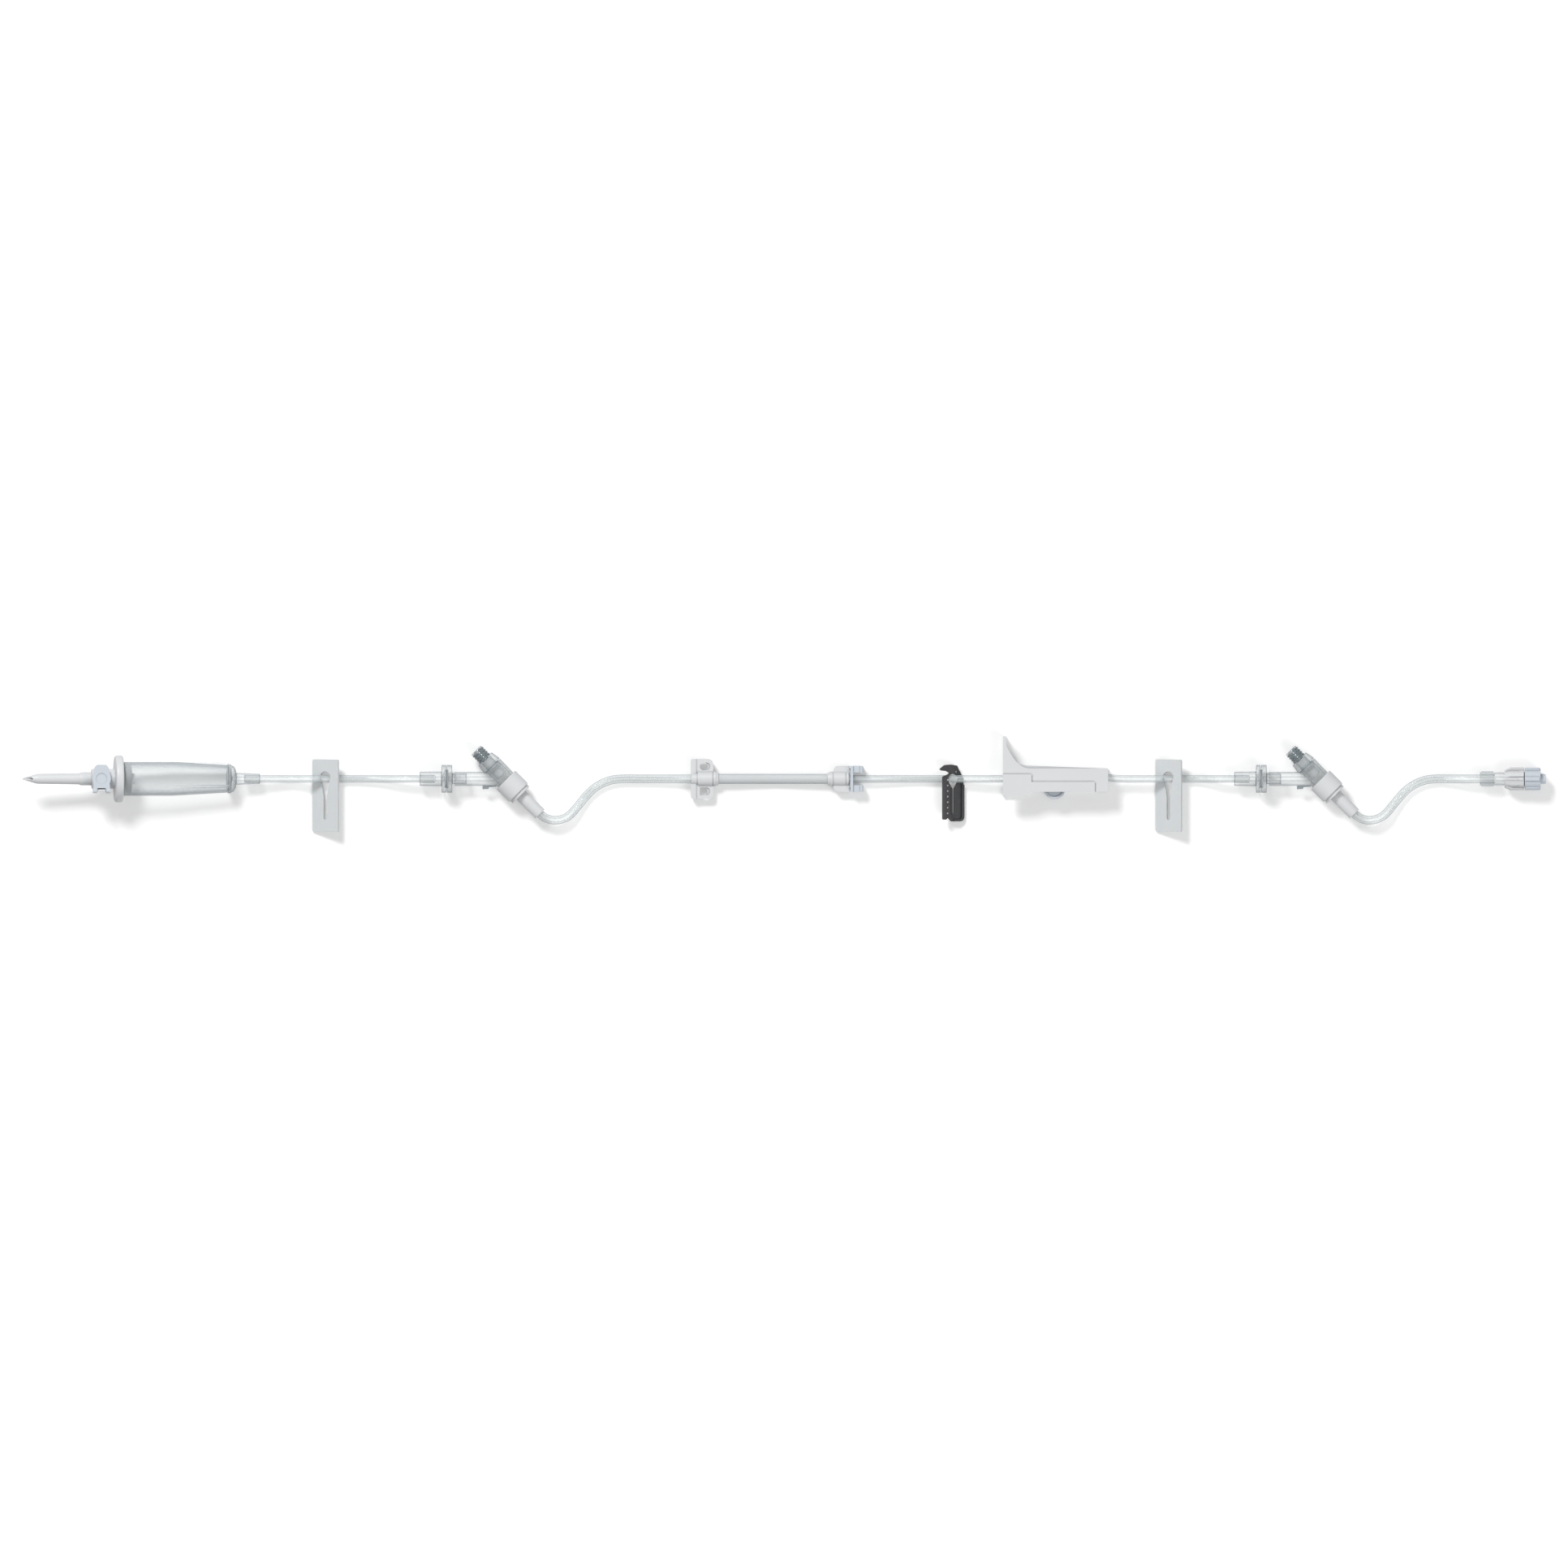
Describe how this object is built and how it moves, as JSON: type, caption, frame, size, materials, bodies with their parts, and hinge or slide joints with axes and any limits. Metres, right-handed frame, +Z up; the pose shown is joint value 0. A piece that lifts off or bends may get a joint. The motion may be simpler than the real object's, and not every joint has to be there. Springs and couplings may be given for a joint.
{
  "type": "iv infusion set",
  "caption": "Pump infusion set laid flat: vented spike with drip chamber, slide clamps, check valves, needle-free Y-sites, pump segment, hooked clamp, roller clamp and capped male luer lock.",
  "frame": {"origin": "on the table under the middle of the set's bounding box", "axes": "+X along the line from the spike to the luer, +Y across it on the table, +Z up from the table"},
  "size_m": [0.7978, 0.05, 0.0246],
  "materials": {
    "spike_plastic": "moulded ABS, satin white",
    "white_plastic": "moulded, satin white",
    "cap_plastic": "moulded, satin, cool white",
    "clamp_plastic": "moulded polypropylene, natural white",
    "slider_plastic": "moulded, satin, cool white",
    "dark_plastic": "moulded, dark",
    "clear_plastic": "clear, polished",
    "clear_tubing": "clear flexible PVC",
    "silicone": "translucent silicone",
    "filter_membrane": "white filter membrane"
  },
  "bodies": {
    "line": {"spike_body": "spike_plastic", "vent_filter": "filter_membrane", "drip_chamber": "clear_plastic", "fluid_filter": "filter_membrane", "upper_tube": "clear_tubing", "upper_check_valve_inlet": "clear_plastic", "upper_check_valve_outlet": "clear_plastic", "upper_check_valve_disc": "silicone", "upper_y_body": "clear_plastic", "upper_y_outlet_base": "white_plastic", "upper_y_valve_housing": "clear_plastic", "middle_tube": "clear_tubing", "upper_pump_fitment": "white_plastic", "pump_segment": "silicone", "lower_pump_fitment": "white_plastic", "lower_tube": "clear_tubing", "roller_clamp_housing": "white_plastic", "lower_check_valve_inlet": "clear_plastic", "lower_check_valve_outlet": "clear_plastic", "lower_check_valve_disc": "silicone", "lower_y_body": "clear_plastic", "lower_y_outlet_base": "white_plastic", "lower_y_valve_housing": "clear_plastic", "outlet_tube": "clear_tubing", "male_luer": "clear_plastic"},
    "vent_flap": {"vent_cap": "cap_plastic"},
    "upper_clamp": {"upper_slide_clamp": "clamp_plastic"},
    "lower_clamp": {"lower_slide_clamp": "clamp_plastic"},
    "thumb_clamp": {"hook_clamp": "dark_plastic"},
    "upper_port": {"upper_y_valve_piston": "silicone"},
    "lower_port": {"lower_y_valve_piston": "silicone"},
    "flow_stop": {"flow_stop_slider": "slider_plastic"},
    "wheel": {"roller": "cap_plastic"},
    "collar": {"lock_collar": "white_plastic"},
    "end_cap": {"luer_cap": "cap_plastic"}
  },
  "joints": [
    {"name": "vent_cap_hinge", "type": "hinge", "parent": "line", "child": "vent_flap", "pos_m": [-0.3574, -0.0035, 0.0207], "axis": [0.9967, 0, -0.0806], "range_deg": [0, 110]},
    {"name": "upper_clamp_slide", "type": "slide", "parent": "line", "child": "upper_clamp", "axis": [0, 1, 0], "range_m": [0, 0.018], "deforming": ["upper_tube"]},
    {"name": "lower_clamp_slide", "type": "slide", "parent": "line", "child": "lower_clamp", "axis": [0, 1, 0], "range_m": [0, 0.018], "deforming": ["lower_tube"]},
    {"name": "hook_clamp_slide", "type": "slide", "parent": "line", "child": "thumb_clamp", "axis": [0, 1, 0], "range_m": [0, 0.014], "deforming": ["lower_tube"]},
    {"name": "upper_port_press", "type": "slide", "parent": "line", "child": "upper_port", "axis": [0.7071, -0.7071, 0], "range_m": [0, 0.004], "stiffness_N_per_m": 300, "springref_m": -0.002},
    {"name": "lower_port_press", "type": "slide", "parent": "line", "child": "lower_port", "axis": [0.7071, -0.7071, 0], "range_m": [0, 0.004], "stiffness_N_per_m": 300, "springref_m": -0.002},
    {"name": "flow_stop_slide", "type": "slide", "parent": "line", "child": "flow_stop", "axis": [1, 0, 0], "range_m": [0, 0.004]},
    {"name": "roller_travel", "type": "slide", "parent": "line", "child": "wheel", "axis": [0.9936, 0.1132, 0], "range_m": [-0.0015, 0.0155], "deforming": ["lower_tube"]},
    {"name": "lock_collar_spin", "type": "hinge", "parent": "line", "child": "collar", "pos_m": [0.382, 0.0027, 0.0063], "axis": [1, 0, 0], "continuous": true},
    {"name": "luer_cap_pull", "type": "slide", "parent": "line", "child": "end_cap", "axis": [1, 0, 0], "range_m": [0, 0.012]}
  ]
}
